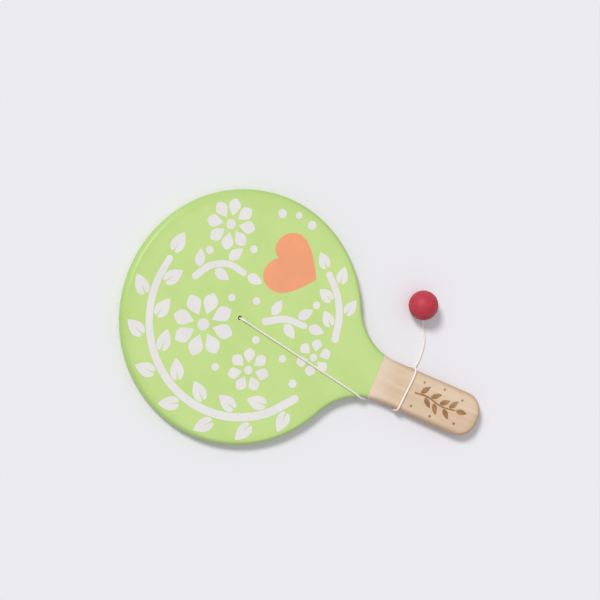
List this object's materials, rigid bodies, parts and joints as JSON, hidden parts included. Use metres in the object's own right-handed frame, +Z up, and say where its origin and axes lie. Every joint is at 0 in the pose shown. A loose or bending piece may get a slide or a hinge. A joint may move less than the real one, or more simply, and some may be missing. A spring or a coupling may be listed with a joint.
{
  "type": "paddle ball",
  "caption": "Wooden paddle with a round painted head and a bare handle, its elastic cord wound round the handle and a rubber ball on the cord's end; it lies face up.",
  "frame": {"origin": "bottom centre of the box of the paddle and the ball, on the surface that the toy lies on", "axes": "+Y from the handle to the head along the handle's middle line, +Z up out of the paddle's face, +X towards the side on which the ball lies"},
  "size_m": [0.15, 0.24, 0.018],
  "materials": {
    "painted_wood": "satin green paint on the head, bare fine-grained wood on the handle",
    "elastic_cord": "matt white covered elastic",
    "ball_rubber": "satin red rubber"
  },
  "bodies": {
    "paddle": {"paddle_board": "painted_wood", "cord_back_knot": "elastic_cord", "cord_face_run": "elastic_cord", "cord_handle_wrap": "elastic_cord"},
    "cord_run": {"cord_ball_run": "elastic_cord"},
    "cord_end": {"cord_in_ball": "elastic_cord", "cord_ball_knot": "elastic_cord"},
    "ball": {"ball": "ball_rubber"}
  },
  "joints": [
    {"name": "ball_swing", "type": "hinge", "parent": "paddle", "child": "cord_run", "pos_m": [0.01145, -0.07105, 0.00078], "axis": [0, 0, -1], "range_deg": [-25, 75]},
    {"name": "ball_pull", "type": "slide", "parent": "cord_run", "child": "cord_end", "axis": [0.9452, 0.3266, 0], "range_m": [0, 0.06], "stiffness_N_per_m": 20},
    {"name": "ball_spin", "type": "hinge", "parent": "cord_end", "child": "ball", "pos_m": [0.0501, -0.0577, 0.009], "axis": [0.6916, 0.5212, 0.5], "continuous": true}
  ]
}
